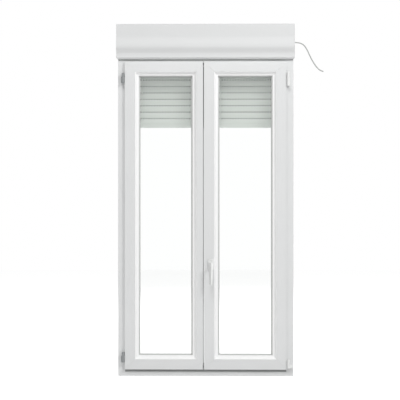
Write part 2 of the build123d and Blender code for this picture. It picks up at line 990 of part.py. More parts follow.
def octagon_bar(x0, length, flat, hole_flat=0.0, hole_radius=0.0):
    with BuildPart() as bar:
        with BuildSketch(Plane.YZ.offset(x0)):
            with Locations((roll_y, roll_z)):
                RegularPolygon(flat, 8, major_radius=False)
                if hole_flat:
                    RegularPolygon(hole_flat, 8, major_radius=False, mode=Mode.SUBTRACT)
                if hole_radius:
                    Circle(hole_radius, mode=Mode.SUBTRACT)
        extrude(amount=length)
    return bar.part


tube_inner = tube_radius - tube_wall
shaft_radius = 8.0
stub_radius = 6.0
drive_x = -90.0
drive_length = 28.0
drive_end = drive_x + drive_length + 1.0
plug_length = 40.0
idler_length = 20.0
idler_radius = 18.0
motor_head_start = tube_half + 2.0
motor_head_radius = motor_radius + 5.0
save("roller_tube", octagon_bar(-tube_half, 2 * tube_half, tube_radius, tube_inner))
save("drive_wheel", octagon_bar(drive_x, drive_length, tube_inner, 0.0, shaft_radius + pin_fit))
plug = octagon_bar(-tube_half, plug_length, tube_inner)
plug += cross_rod(-half_width + 4.0, -tube_half, roll_y, roll_z, stub_radius)
save("roller_end_plug", plug)
idler = cross_rod(
    -half_width,
    -half_width + idler_length,
    roll_y,
    roll_z,
    idler_radius,
    stub_radius + pin_fit,
)
save("idler_bearing", idler)
motor = cross_rod(drive_end, motor_head_start, roll_y, roll_z, motor_radius)
motor += cross_rod(motor_head_start, half_width, roll_y, roll_z, motor_head_radius)
motor += cross_rod(drive_x - 5.0, drive_end, roll_y, roll_z, shaft_radius)
save("tubular_motor", motor)
facets = 11


# A corner of the roll, which falls by one slat's thickness in a full turn
def roll_corner(k):
    reach = roll_radius - slat_thickness * k / facets
    angle = 2 * pi * k / facets
    return (roll_y + reach * cos(angle), roll_z - reach * sin(angle))


with BuildPart() as wound:
    with BuildSketch(Plane.YZ.offset(-tube_half + wound_inset)):
        with BuildLine():
            Polyline([roll_corner(k) for k in range(facets + 1)], close=True)
        make_face()
        with Locations((roll_y, roll_z)):
            RegularPolygon(tube_radius + soft_gap, 8, major_radius=False, mode=Mode.SUBTRACT)
    extrude(amount=2 * (tube_half - wound_inset))
save("wound_slats", wound.part)

# Hanging slats, each hooked into the one above and pierced by a row of light slots
curtain_half = half_width - rail_width + groove_depth - curtain_ease
slot_lift = 1.5
slot_count = int((frame_width - 2 * rail_width - slot_pitch) / slot_pitch)
neck_half = slat_neck / 2
pocket_half = neck_half + soft_gap
slat_half = slat_thickness / 2
slat_edge = slat_half - slat_crown
slats = []
for number in range(slat_count):
    foot = first_slat + number * slat_pitch
    with BuildPart() as slat:
        with BuildSketch(Plane.YZ.offset(-curtain_half)):
            with BuildLine():
                ThreePointArc(
                    (groove_y - slat_edge, foot),
                    (groove_y - slat_half, foot + slat_body / 2),
                    (groove_y - slat_edge, foot + slat_body),
                )
                Polyline(
                    (groove_y - slat_edge, foot + slat_body),
                    (groove_y - neck_half, foot + slat_body),
                    (groove_y - neck_half, foot + slat_body + slat_neck_length),
                    (groove_y + neck_half, foot + slat_body + slat_neck_length),
                    (groove_y + neck_half, foot + slat_body),
                    (groove_y + slat_edge, foot + slat_body),
                )
                ThreePointArc(
                    (groove_y + slat_edge, foot + slat_body),
                    (groove_y + slat_half, foot + slat_body / 2),
                    (groove_y + slat_edge, foot),
                )
                Polyline(
                    (groove_y + slat_edge, foot),
                    (groove_y + pocket_half, foot),
                    (groove_y + pocket_half, foot + slat_pocket_depth),
                    (groove_y - pocket_half, foot + slat_pocket_depth),
                    (groove_y - pocket_half, foot),
                    (groove_y - slat_edge, foot),
                )
            make_face()
        extrude(amount=2 * curtain_half)
        with BuildSketch(Plane.XZ.offset(-groove_y - slat_half)):
            with Locations((0, foot + slat_body + slot_lift + slot_height / 2)):
                with GridLocations(slot_pitch, 1, slot_count, 1):
                    Rectangle(slot_length, slot_height)
        extrude(amount=slat_thickness, mode=Mode.SUBTRACT)
    slats.append(slat.part)
save("hanging_slats", group(*slats))
bar_half = bottom_bar_depth / 2
bottom_bar = block(
    -curtain_half,
    curtain_half,
    groove_y - bar_half,
    groove_y + bar_half,
    curtain_bottom,
    curtain_bottom + bar_body,
)
bottom_bar += block(
    -curtain_half,
    curtain_half,
    groove_y - neck_half,
    groove_y + neck_half,
    curtain_bottom,
    first_slat - slat_pitch + slat_body + slat_neck_length,
)
save("bottom_bar", bottom_bar)
stop_x = half_width - rail_width - 60.0
stop_half = 12.0
stop_y = (groove_y + bar_half, groove_y + bar_half + 6.0)
stop_z = (curtain_bottom + 2.0, curtain_bottom + 14.0)
stops = [block(x - stop_half, x + stop_half, *stop_y, *stop_z) for x in (-stop_x, stop_x)]
save("bottom_bar_stops", group(*stops))

# Motor cable: out of the right end cap through its grommet, then down in a loose curve
grommet = cross_rod(half_width, half_width + cap_thickness, cable_y, cable_z, grommet_radius)
flange_end = cap_face + grommet_flange
grommet += cross_rod(cap_face, flange_end, cable_y, cable_z, grommet_radius + grommet_rim)
grommet -= cross_rod(
    half_width - overcut, flange_end + overcut, cable_y, cable_z, cable_radius
)
save("cable_grommet", grommet)
cable_steps = [
    (-3.0, 0.0),
    (28.0, 0.0),
    (56.0, -12.0),
    (76.0, -42.0),
    (91.0, -77.0),
    (109.0, -111.0),
    (129.0, -141.0),
    (150.0, -160.0),
    (168.0, -166.0),
]
route = [Vector(cap_face + x, cable_y, cable_z + z) for x, z in cable_steps]
bend_share = 0.45
radii = []
for before, corner, after in zip(route, route[1:], route[2:]):
    half_turn = radians((corner - before).get_angle(after - corner)) / 2
    shorter = min((corner - before).length, (after - corner).length)
    radii.append(bend_share * shorter / tan(half_turn))
print("cable radii", [round(radius, 1) for radius in radii])
with BuildPart() as cable:
    with BuildLine() as cable_path:
        FilletPolyline(*route, radius=radii)
    with BuildSketch(Plane(origin=route[0], z_dir=cable_path.line % 0)):
        Circle(cable_radius)
    sweep()
section_area = pi * cable_radius**2
cable_length = cable_path.wire().length
print("cable length", round(cable_length, 1))
print("cable volume over section times length", round(cable.part.volume / section_area / cable_length, 4))
save("motor_cable", cable.part)
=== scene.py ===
import math

import bmesh
import bpy
from mathutils import Matrix, Vector


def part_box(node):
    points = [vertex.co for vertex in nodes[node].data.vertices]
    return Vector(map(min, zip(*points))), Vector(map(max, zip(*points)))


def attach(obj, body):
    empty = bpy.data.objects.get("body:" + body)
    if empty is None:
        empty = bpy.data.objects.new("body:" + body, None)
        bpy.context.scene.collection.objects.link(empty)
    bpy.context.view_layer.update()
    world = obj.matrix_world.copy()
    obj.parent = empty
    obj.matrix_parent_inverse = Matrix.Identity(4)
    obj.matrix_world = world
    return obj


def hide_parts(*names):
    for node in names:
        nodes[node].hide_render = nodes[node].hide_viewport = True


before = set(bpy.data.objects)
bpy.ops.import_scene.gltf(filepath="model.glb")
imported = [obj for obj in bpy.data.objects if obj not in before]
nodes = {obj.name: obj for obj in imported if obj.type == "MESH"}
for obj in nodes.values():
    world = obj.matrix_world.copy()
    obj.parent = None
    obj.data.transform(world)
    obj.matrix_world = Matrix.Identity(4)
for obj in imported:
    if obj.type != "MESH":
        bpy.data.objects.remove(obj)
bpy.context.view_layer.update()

# Fixed frame: four hollow bars of white rigid PVC, extruded, cut at 45 degrees and
# welded at the corners. Extruded PVC is smooth and fairly glossy, with a faint grain
# drawn along each bar and a fine groove where a weld bead was planed off.


def linear(hex_colour):
    channels = [int(hex_colour[i : i + 2], 16) / 255 for i in (1, 3, 5)]
    return tuple(c / 12.92 if c <= 0.04045 else ((c + 0.055) / 1.055) ** 2.4 for c in channels)


def add_node(tree, kind, settings=None, inputs=None):
    made = tree.nodes.new(kind)
    for key, value in (settings or {}).items():
        setattr(made, key, value)
    for key, value in (inputs or {}).items():
        if isinstance(value, bpy.types.NodeSocket):
            tree.links.new(value, made.inputs[key])
        else:
            made.inputs[key].default_value = value
    return made


def start_material(name):
    material = bpy.data.materials.new(name)
    material.use_nodes = True
    material.node_tree.nodes.clear()
    return material, material.node_tree


def end_material(tree, shader, output="BSDF"):
    add_node(tree, "ShaderNodeOutputMaterial", None, {"Surface": shader.outputs[output]})


# Grain lines 2.5 mm apart run along the bar and vary over 150 mm of its length
def rigid_pvc(name, along, pale="#e6e7e7", deep="#e0e1e1", roughness=0.3):
    across_scale, along_scale = 1 / 0.0025, 1 / 0.15
    scale = [along_scale if axis == along else across_scale for axis in "xyz"]
    material, tree = start_material(name)
    place = add_node(tree, "ShaderNodeTexCoord")
    grain_place = add_node(
        tree, "ShaderNodeMapping", None, {"Vector": place.outputs["Object"], "Scale": scale}
    )
    grain = add_node(
        tree,
        "ShaderNodeTexNoise",
        None,
        {"Vector": grain_place.outputs["Vector"], "Scale": 1.0, "Detail": 3.0},
    )
    cloud = add_node(
        tree,
        "ShaderNodeTexNoise",
        None,
        {"Vector": place.outputs["Object"], "Scale": 1 / 0.22, "Detail": 2.0},
    )
    tone = add_node(
        tree,
        "ShaderNodeMix",
        {"data_type": "RGBA"},
        {
            "Factor": cloud.outputs["Fac"],
            "A": (*linear(pale), 1),
            "B": (*linear(deep), 1),
        },
    )
    sheen = add_node(
        tree,
        "ShaderNodeMapRange",
        None,
        {
            "Value": grain.outputs["Fac"],
            "From Min": 0.3,
            "From Max": 0.7,
            "To Min": roughness - 0.04,
            "To Max": roughness + 0.06,
        },
    )
    relief = add_node(
        tree,
        "ShaderNodeBump",
        None,
        {"Height": grain.outputs["Fac"], "Strength": 0.25, "Distance": 0.00004},
    )
    shader = add_node(
        tree,
        "ShaderNodeBsdfPrincipled",
        None,
        {
            "Base Color": tone.outputs["Result"],
            "Roughness": sheen.outputs["Result"],
            "IOR": 1.53,
            "Normal": relief.outputs["Normal"],
        },
    )
    end_material(tree, shader)
    return material


pvc_upright = rigid_pvc("extruded_pvc_upright", "z")
pvc_level = rigid_pvc("extruded_pvc_level", "x")


def finish_mesh(name, mesh, material, smooth=False):
    bmesh.ops.recalc_face_normals(mesh, faces=mesh.faces)
    data = bpy.data.meshes.new(name)
    mesh.to_mesh(data)
    mesh.free()
    for polygon in data.polygons:
        polygon.use_smooth = smooth
    data.materials.append(material)
    piece = bpy.data.objects.new(name, data)
    bpy.context.scene.collection.objects.link(piece)
    return piece


def soften(piece, width, segments=2, angle=25):
    modifier = piece.modifiers.new("edges", "BEVEL")
    modifier.width = width
    modifier.segments = segments
    modifier.limit_method = "ANGLE"
    modifier.angle_limit = math.radians(angle)
    modifier.harden_normals = False
    for polygon in piece.data.polygons:
        polygon.use_smooth = True
    weighted = piece.modifiers.new("shading", "WEIGHTED_NORMAL")
    weighted.keep_sharp = True
    return piece


# One bar of a mitred ring. outline holds (distance inwards, depth) in mm
def bar_mesh(side, ring, outline):
    x0, x1, z0, z1 = ring
    upright = side in ("left", "right")
    mesh = bmesh.new()
    corners = []
    for inward, depth in outline:
        u, y = inward / 1000, depth / 1000
        place = {
            "left": (x0 + u, y, z0),
            "right": (x1 - u, y, z0),
            "bottom": (x0, y, z0 + u),
            "top": (x0, y, z1 - u),
        }[side]
        corners.append(mesh.verts.new(place))
    start = mesh.faces.new(corners)
    travel = Vector((0, 0, z1 - z0)) if upright else Vector((x1 - x0, 0, 0))
    grown = bmesh.ops.extrude_face_region(mesh, geom=[start])
    moved = [item for item in grown["geom"] if isinstance(item, bmesh.types.BMVert)]
    bmesh.ops.translate(mesh, verts=moved, vec=travel)
    ends = {
        "left": [((x0, z0), (1, -1)), ((x0, z1), (1, 1))],
        "right": [((x1, z0), (-1, -1)), ((x1, z1), (-1, 1))],
        "bottom": [((x0, z0), (-1, 1)), ((x1, z0), (1, 1))],
        "top": [((x0, z1), (-1, -1)), ((x1, z1), (1, -1))],
    }[side]
    for (corner_x, corner_z), (normal_x, normal_z) in ends:
        cut = bmesh.ops.bisect_plane(
            mesh,
            geom=mesh.verts[:] + mesh.edges[:] + mesh.faces[:],
            plane_co=(corner_x, 0, corner_z),
            plane_no=(normal_x, 0, normal_z),
            clear_outer=True,
        )
        rim = [item for item in cut["geom_cut"] if isinstance(item, bmesh.types.BMEdge)]
        bmesh.ops.contextual_create(mesh, geom=rim)
    return mesh


def box_ring(low_node, high_node):
    low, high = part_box(low_node)[0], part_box(high_node)[1]
    return low.x, high.x, low.z, high.z


# The left leaf's bolts slide into square pockets, which are sunk into the inner faces
# of the sill and the head
def sink_pocket(mesh, bolt, face_z, depth):
    bolt_play = 0.0012
    low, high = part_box(bolt)
    clearance = Vector((bolt_play, bolt_play, 0))
    low, high = low - clearance, high + clearance
    planes = [(low, (1, 0, 0)), (high, (1, 0, 0)), (low, (0, 1, 0)), (high, (0, 1, 0))]
    for place, normal in planes:
        bmesh.ops.bisect_plane(
            mesh,
            geom=mesh.verts[:] + mesh.edges[:] + mesh.faces[:],
            plane_co=place,
            plane_no=normal,
        )
    mouth = []
    for face in mesh.faces:
        centre = face.calc_center_median()
        inside = low.x < centre.x < high.x and low.y < centre.y < high.y
        if inside and abs(centre.z - face_z) < 0.0001:
            mouth.append(face)
    grown = bmesh.ops.extrude_face_region(mesh, geom=mouth)
    moved = [item for item in grown["geom"] if isinstance(item, bmesh.types.BMVert)]
    bmesh.ops.translate(mesh, verts=moved, vec=(0, 0, depth))
    bmesh.ops.delete(mesh, geom=mouth, context="FACES_ONLY")


frame_ring = box_ring("frame_sill", "frame_jamb_right")
frame_outline = [(0, -35), (47, -35), (47, 20), (67, 20), (67, 35), (0, 35)]
weld_groove = 0.0009
rebate_height = 0.047
pocket_depth = 0.026
bolt_pockets = {
    "bottom": ("left_bottom_bolt", frame_ring[2] + rebate_height, -pocket_depth),
    "top": ("left_top_bolt", frame_ring[3] - rebate_height, pocket_depth),
}
frame_bars = {
    "left": "frame_jamb_left",
    "right": "frame_jamb_right",
    "bottom": "frame_sill",
    "top": "frame_head",
}
for side, node in frame_bars.items():
    material = pvc_upright if side in ("left", "right") else pvc_level
    mesh = bar_mesh(side, frame_ring, frame_outline)
    if side in bolt_pockets:
        sink_pocket(mesh, *bolt_pockets[side])
    bar = finish_mesh(f"{node}_bar", mesh, material)
    soften(bar, weld_groove)
    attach(bar, "root")
    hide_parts(node)

# Leaves: four mitred and welded bars each, standing 15 mm proud of the frame. The
# outer edge is rounded; the meeting stile of the left leaf has no outer flange, so it
# closes edge to edge with the right leaf.
leaf_outline = [
    (0, -50),
    (57, -50),
    (57, 5),
    (85, 5),
    (85, 17),
    (20, 17),
    (20, -38),
    (0, -38),
]
meeting_outline = [
    (20, -50),
    (57, -50),
    (57, 5),
    (85, 5),
    (85, 17),
    (23.5, 17),
    (23.5, -31),
    (16.7, -31),
    (16.7, -37),
    (20, -37),
]
leaf_flange = 0.020
right_ring = box_ring("right_bottom_rail", "right_hinge_stile")
left_low, left_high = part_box("left_bottom_rail")
left_ring = (left_low.x, left_high.x + leaf_flange, right_ring[2], right_ring[3])
left_end = left_high.x - 0.001
leaf_bars = {
    "right": {
        "left": "right_lock_stile",
        "right": "right_hinge_stile",
        "bottom": "right_bottom_rail",
        "top": "right_top_rail",
    },
    "left": {
        "left": "left_hinge_stile",
        "right": "left_meeting_stile",
        "bottom": "left_bottom_rail",
        "top": "left_top_rail",
    },
}
rings = {"right": right_ring, "left": left_ring}
for leaf, bars in leaf_bars.items():
    for side, node in bars.items():
        meeting = node == "left_meeting_stile"
        mesh = bar_mesh(side, rings[leaf], meeting_outline if meeting else leaf_outline)
        if leaf == "left" and side in ("top", "bottom"):
            cut = bmesh.ops.bisect_plane(
                mesh,
                geom=mesh.verts[:] + mesh.edges[:] + mesh.faces[:],
                plane_co=(left_end, 0, 0),
                plane_no=(1, 0, 0),
                clear_outer=True,
            )
            rim = [item for item in cut["geom_cut"] if isinstance(item, bmesh.types.BMEdge)]
            bmesh.ops.edgeloop_fill(mesh, edges=rim)
        material = pvc_upright if side in ("left", "right") else pvc_level
        bar = finish_mesh(f"{node}_bar", mesh, material)
        soften(bar, 0.0014, segments=3)
        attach(bar, f"{leaf}_leaf")
        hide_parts(node)

# Glazing beads: thin PVC strips snapped into the leaf on the room side. Each has a
# sloping face and a narrow flat land beside the gasket, which catches the light. Their
# PVC is near white, lighter than the bars': a painted highlight on the slopes.
bead_outline = [
    (57.2, -50),
    (59.3, -50),
    (67.5, -39.5),
    (71, -37.4),
    (80, -35.8),
    (80, -25),
    (57.2, -25),
]
# Near-white bead PVC: painted highlight
bead_highlit_upright = rigid_pvc("bead_pvc_highlight_upright", "z", "#fefefe", "#fafafa", 0.22)
bead_highlit_level = rigid_pvc("bead_pvc_highlight_level", "x", "#fefefe", "#fafafa", 0.22)
for leaf, ring in rings.items():
    for side in ("left", "right", "bottom", "top"):
        material = bead_highlit_upright if side in ("left", "right") else bead_highlit_level
        bead = finish_mesh(f"{leaf}_bead_{side}", bar_mesh(side, ring, bead_outline), material)
        soften(bead, 0.0006)
        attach(bead, f"{leaf}_leaf")
        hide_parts(f"{leaf}_beads")


# Plain parts that keep their shape: one material from a colour, a gloss and a fine
# mottle of the given size in metres, with a little relief.
def plain_finish(
    name, hex_colour, roughness, metallic=0.0, mottle=0.004, relief=0.00003, spread=0.04
):
    material, tree = start_material(name)
    place = add_node(tree, "ShaderNodeTexCoord")
    speckle = add_node(
        tree,
        "ShaderNodeTexNoise",
        None,
        {"Vector": place.outputs["Object"], "Scale": 1 / mottle, "Detail": 4.0},
    )
    colour = linear(hex_colour)
    tone = add_node(
        tree,
        "ShaderNodeMix",
        {"data_type": "RGBA"},
        {
            "Factor": speckle.outputs["Fac"],
            "A": (*[min(1.0, c * (1 + spread)) for c in colour], 1),
            "B": (*[c * (1 - spread) for c in colour], 1),
        },
    )
    gloss = add_node(
        tree,
        "ShaderNodeMapRange",
        None,
        {
            "Value": speckle.outputs["Fac"],
            "To Min": roughness * 0.85,
            "To Max": min(1.0, roughness * 1.15),
        },
    )
    bump = add_node(
        tree,
        "ShaderNodeBump",
        None,
        {"Height": speckle.outputs["Fac"], "Strength": 0.3, "Distance": relief},
    )
    shader = add_node(
        tree,
        "ShaderNodeBsdfPrincipled",
        None,
        {
            "Base Color": tone.outputs["Result"],
            "Roughness": gloss.outputs["Result"],
            "Metallic": metallic,
            "Normal": bump.outputs["Normal"],
        },
    )
    end_material(tree, shader)
    return material


def dress(material, *names):
    for name in names:
        mesh = nodes[name].data
        mesh.materials.clear()
        mesh.materials.append(material)


# Gaskets: extruded EPDM-like thermoplastic in light grey, matt, with a faint bloom.
gasket_grey = plain_finish("light_grey_gasket", "#c9cbc9", 0.62, mottle=0.003)
dress(gasket_grey, "frame_seals", "left_seals", "right_seals")

# Dark grey strips, matt: painted shade. One on the left leaf stands for the shade in the
# joint between the leaves, and one along the sill stands for the shade under both
# leaves, which shows as a dark line.
shade_strip_grey = plain_finish("painted_shade_strip_grey", "#8d8f8e", 0.7, mottle=0.003)


# A dark grey box that stands for the shade in a joint: painted shade
def shade_strip(name, size, middle, body):
    mesh = bmesh.new()
    bmesh.ops.create_cube(mesh, size=1.0)
    bmesh.ops.scale(mesh, verts=mesh.verts, vec=size)
    bmesh.ops.translate(mesh, verts=mesh.verts, vec=middle)
    strip = finish_mesh(name, mesh, shade_strip_grey)
    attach(strip, body)


# Painted shade in the joint between the leaves
joint_low = left_end + 0.001
joint_strip_size = (0.0030, 0.0010, 1.69)
strip_inset, joint_strip_y = 0.0017, -0.0375
leaf_middle_z = (right_ring[2] + right_ring[3]) / 2
joint_place = (joint_low + strip_inset, joint_strip_y, leaf_middle_z)
shade_strip("meeting_shade_strip", joint_strip_size, joint_place, "left_leaf")
# Painted shade under both leaves, along the sill
side_gap, sill_strip_y, strip_drop = 0.004, -0.0362, 0.0060
sill_strip_size = (right_ring[1] - left_ring[0] - side_gap, 0.003, 0.014)
sill_place = ((right_ring[1] + left_ring[0]) / 2, sill_strip_y, right_ring[2] - strip_drop)
shade_strip("sill_shade_strip", sill_strip_size, sill_place, "root")

# Panes: clear float glass, 4 mm, two to a unit. It passes light, and mirrors it by
# its angle; the tint is the faint green of iron in the glass.
glass, tree = start_material("clear_float_glass")
see_through = add_node(tree, "ShaderNodeBsdfTransparent", None, {"Color": (0.998, 1.0, 0.999, 1)})
mirror = add_node(
    tree, "ShaderNodeBsdfAnisotropic", None, {"Color": (1, 1, 1, 1), "Roughness": 0.03}
)
angle = add_node(tree, "ShaderNodeFresnel", None, {"IOR": 1.52})
mirror_share = 0.35
less = add_node(
    tree, "ShaderNodeMath", {"operation": "MULTIPLY"}, {0: angle.outputs["Fac"], 1: mirror_share}
)
pane_mix = add_node(
    tree,
    "ShaderNodeMixShader",
    None,
    {0: less.outputs["Value"], 1: see_through.outputs["BSDF"], 2: mirror.outputs["BSDF"]},
)
end_material(tree, pane_mix, "Shader")
dress(glass, "left_panes", "right_panes")

# Pane spacers: folded aluminium tube with a dull satin face.
spacer_metal = plain_finish("satin_aluminium", "#c4c7c8", 0.42, 1.0, mottle=0.002)
dress(spacer_metal, "left_pane_spacer", "right_pane_spacer")

# Glazing blocks, end plug, drive wheel and idler: moulded polyamide.
moulded_nylon = plain_finish("moulded_nylon", "#3c4250", 0.5, mottle=0.006)
dress(
    moulded_nylon,
    "left_glazing_blocks",
    "right_glazing_blocks",
    "roller_end_plug",
    "drive_wheel",
    "idler_bearing",
)

# Hardware: pressed and zinc-plated steel, with the fine grey mottle of the plating.
zinc_plate = plain_finish("zinc_plated_steel", "#b9bdc0", 0.36, 1.0, mottle=0.0025)
dress(
    zinc_plate,
    "frame_keeps",
    "left_keeps",
    "lock_rod",
    "top_rod",
    "bottom_rod",
    "right_gearbox",
    "handle_spindle",
    "left_top_bolt",
    "left_bottom_bolt",
    "roller_tube",
    "tubular_motor",
)

# Hinge halves and the stay: die-cast zinc and steel with white powder coat, slightly
# orange-peeled. The left leaf's halves are bare grey castings; their mid grey is also
# painted shade, for the dark slits beside the leaf.
powder_coat = plain_finish("white_powder_coat", "#eeefee", 0.3, mottle=0.0015, relief=0.00006)
bare_casting_and_shade = plain_finish("bare_zinc_casting_and_shade", "#96999a", 0.5, mottle=0.0015, relief=0.00006)
dress(powder_coat, "right_frame_hinges", "stay_arm", "right_corner_hinge", "handle_screws")
# Bare grey, partly painted shade of the slits
dress(bare_casting_and_shade, "left_frame_hinges", "left_sash_hinges")

# Curtain: extruded PVC slats in a grey-green tint, hooked together and pierced with
# light slots; the bottom bar is an aluminium extrusion of the same colour. Dark grey
# plugs in the slots are painted shade, which shows as rows of dark dots.
slat_finish = rigid_pvc("tinted_slat_pvc", "x", "#f2f7f2", "#eaf0ea", 0.42)
dress(slat_finish, "hanging_slats", "wound_slats", "bottom_bar")
slot_shade_grey = plain_finish("painted_slot_shade_grey", "#565c57", 0.8, mottle=0.002)
slats_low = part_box("hanging_slats")[0]
slat_pitch, slat_body, slot_pitch = 0.037, 0.030, 0.0156
slot_width, slot_tall, slot_lift = 0.0070, 0.0066, 0.0002
plug_inset, plug_thickness = 0.002, 0.001
slot_rows, slots_each_side = 12, 28
curtain_y = slats_low.y + plug_inset
# Plugs of painted shade fill the open slots
plugs = bmesh.new()
for row in range(slot_rows):
    middle = slats_low.z + slat_body + slot_lift + slot_tall / 2 + row * slat_pitch
    for step in range(-slots_each_side, slots_each_side + 1):
        plug = bmesh.ops.create_cube(plugs, size=1.0)["verts"]
        bmesh.ops.scale(plugs, verts=plug, vec=(slot_width, plug_thickness, slot_tall))
        bmesh.ops.translate(plugs, verts=plug, vec=(step * slot_pitch, curtain_y, middle))
shades = finish_mesh("painted_slot_shade_plugs", plugs, slot_shade_grey)
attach(shades, "curtain")
stop_rubber = plain_finish("black_rubber", "#1c1c1d", 0.7)
dress(stop_rubber, "bottom_bar_stops")

# Guide rails: extruded PVC channels screwed to the frame's outer face.
dress(pvc_upright, "guide_rail_left", "guide_rail_right")

# Shutter box: PVC panels clipped together. The front panel is extruded with a soft
# swell along its middle and a small square lip along its lower edge.
# The box's PVC is a little greyer than the window's: painted shade that offsets the lamps' extra
# light on the box
box_pvc_shaded = rigid_pvc("box_pvc_shaded", "x", "#e1e2e2", "#dcdddd", 0.34)
box_panels = ["box_top_panel", "box_outer_panel", "box_base_panel"]
dress(box_pvc_shaded, *box_panels)
front_low, front_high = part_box("box_front_panel")
cap_low, cap_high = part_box("box_end_cap_right")
swell = 0.0115
front_y = front_low.y + swell
swell_middle = front_low.z + 0.062


# How far the panel stands out at a height: a cosine rise and a shorter fall
def swell_at(z):
    above = z > swell_middle
    reach = 0.062 if above else 0.042
    share = min(1.0, abs(z - swell_middle) / reach)
    return swell * (0.5 + 0.5 * math.cos(math.pi * share))


def front_outline(low_z, high_z):
    steps = 60
    first = low_z + 0.0105
    heights = [first + (high_z - first) * step / steps for step in range(steps + 1)]
    lip = [(front_y - 0.002, low_z), (front_y - 0.002, low_z + 0.007), (front_y, low_z + 0.009)]
    return lip + [(front_y - swell_at(z), z) for z in heights]


def prism(outline, x_low, x_high):
    mesh = bmesh.new()
    face = mesh.faces.new([mesh.verts.new((x_low, y, z)) for y, z in outline])
    grown = bmesh.ops.extrude_face_region(mesh, geom=[face])
    moved = [item for item in grown["geom"] if isinstance(item, bmesh.types.BMVert)]
    bmesh.ops.translate(mesh, verts=moved, vec=(x_high - x_low, 0, 0))
    return mesh


panel_back = front_y + 0.006
panel_outline = front_outline(front_low.z, front_high.z)
panel_outline += [(panel_back, front_high.z), (panel_back, front_low.z)]
front = finish_mesh("box_front", prism(panel_outline, front_low.x, front_high.x), box_pvc_shaded)
soften(front, 0.0007, angle=30)
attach(front, "root")
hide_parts("box_front_panel")

# End caps: moulded plates clipped over the panels' ends, with the same outline and a
# step where the box sits on the frame.
# A little greyer, like the box panels: painted shade
cap_pvc_shaded = plain_finish("moulded_cap_pvc_shaded", "#e1e2e2", 0.36, mottle=0.01)
frame_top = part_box("frame_head")[1].z
step_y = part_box("frame_head")[0].y
cap_outline = front_outline(cap_low.z, cap_high.z) + [
    (cap_high.y, cap_high.z),
    (cap_high.y, frame_top),
    (step_y, frame_top),
    (step_y, cap_low.z),
]
caps = []
for node in ("box_end_cap_left", "box_end_cap_right"):
    low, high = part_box(node)
    cap = finish_mesh(f"{node}_cover", prism(cap_outline, low.x, high.x), cap_pvc_shaded)
    caps.append(soften(cap, 0.0008, angle=30))
    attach(cap, "root")
    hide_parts(node)

# Box shade strip and insulation: a dark grey strip is painted shade in the joint between
# the box and the frame, and a shell of grey polystyrene foam lines the box.
box_strip_size = (0.994, 0.004, 0.006)
box_strip_out, box_strip_drop = 0.0018, 0.0028
# Painted shade under the box, in its joint with the frame
shade_strip("box_joint_shade_strip", box_strip_size, (0, step_y - box_strip_out, cap_low.z - box_strip_drop), "root")
foam = plain_finish("grey_foam", "#7c8084", 0.9, mottle=0.003, relief=0.0004, spread=0.12)
dress(foam, "box_insulation")

# Handle: die-cast aluminium lever and rosette, powder coated white. The lever's grip
# has a ridge along its front, with a broad slope to the left of it.
dress(powder_coat, "handle_rosette")
lever_low, lever_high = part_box("handle_lever")
lever_x = (lever_low.x + lever_high.x) / 2
grip_top, grip_end = lever_high.z, lever_low.z
grip_face, grip_depth = lever_low.y, 0.014
# Each station has its height, half width and share of the full depth
stations = [
    (grip_top, 0.004, 0.55),
    (grip_top - 0.002, 0.008, 0.8),
    (grip_top - 0.006, 0.0108, 0.95),
    (grip_top - 0.013, 0.012, 1.0),
    (grip_top - 0.030, 0.0112, 1.0),
    (grip_end + 0.020, 0.0084, 0.9),
    (grip_end + 0.008, 0.0078, 0.86),
    (grip_end + 0.0025, 0.006, 0.75),
    (grip_end, 0.0035, 0.6),
]
# The grip's section, as shares of the half width and of the depth from the front. The
# ridge is a little right of the middle
grip_section = [
    (-0.75, 1),
    (-1, 0.72),
    (-0.86, 0.45),
    (0.18, 0),
    (0.55, 0.06),
    (1, 0.42),
    (0.75, 1),
]
grip = bmesh.new()
loops = []
for height, half, share in stations:
    depth = grip_depth * share
    start_y = grip_face + (grip_depth - depth) / 2
    outline = [(lever_x + x * half, start_y + y * depth) for x, y in grip_section]
    loops.append([grip.verts.new((x, y, height)) for x, y in outline])
for upper, lower in zip(loops, loops[1:]):
    for number in range(len(upper)):
        following = (number + 1) % len(upper)
        grip.faces.new((upper[number], upper[following], lower[following], lower[number]))
grip.faces.new(loops[0])
grip.faces.new(loops[-1])
neck_radius, neck_overlap = 0.0085, 0.001
neck = bmesh.ops.create_cone(
    grip, cap_ends=True, segments=48, radius1=neck_radius, radius2=neck_radius, depth=1.0
)["verts"]
rosette_low, rosette_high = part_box("handle_rosette")
neck_start, neck_end = grip_face + 0.010, rosette_low.y + neck_overlap
neck_z = (rosette_low.z + rosette_high.z) / 2
turned = Matrix.Rotation(math.pi / 2, 3, "X")
bmesh.ops.rotate(grip, verts=neck, cent=(0, 0, 0), matrix=turned)
bmesh.ops.scale(grip, verts=neck, vec=(1, neck_end - neck_start, 1))
neck_place = (lever_x, (neck_start + neck_end) / 2, neck_z)
bmesh.ops.translate(grip, verts=neck, vec=neck_place)
lever = soften(finish_mesh("lever", grip, powder_coat), 0.0012, segments=3, angle=20)
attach(lever, "handle")
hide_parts("handle_lever")

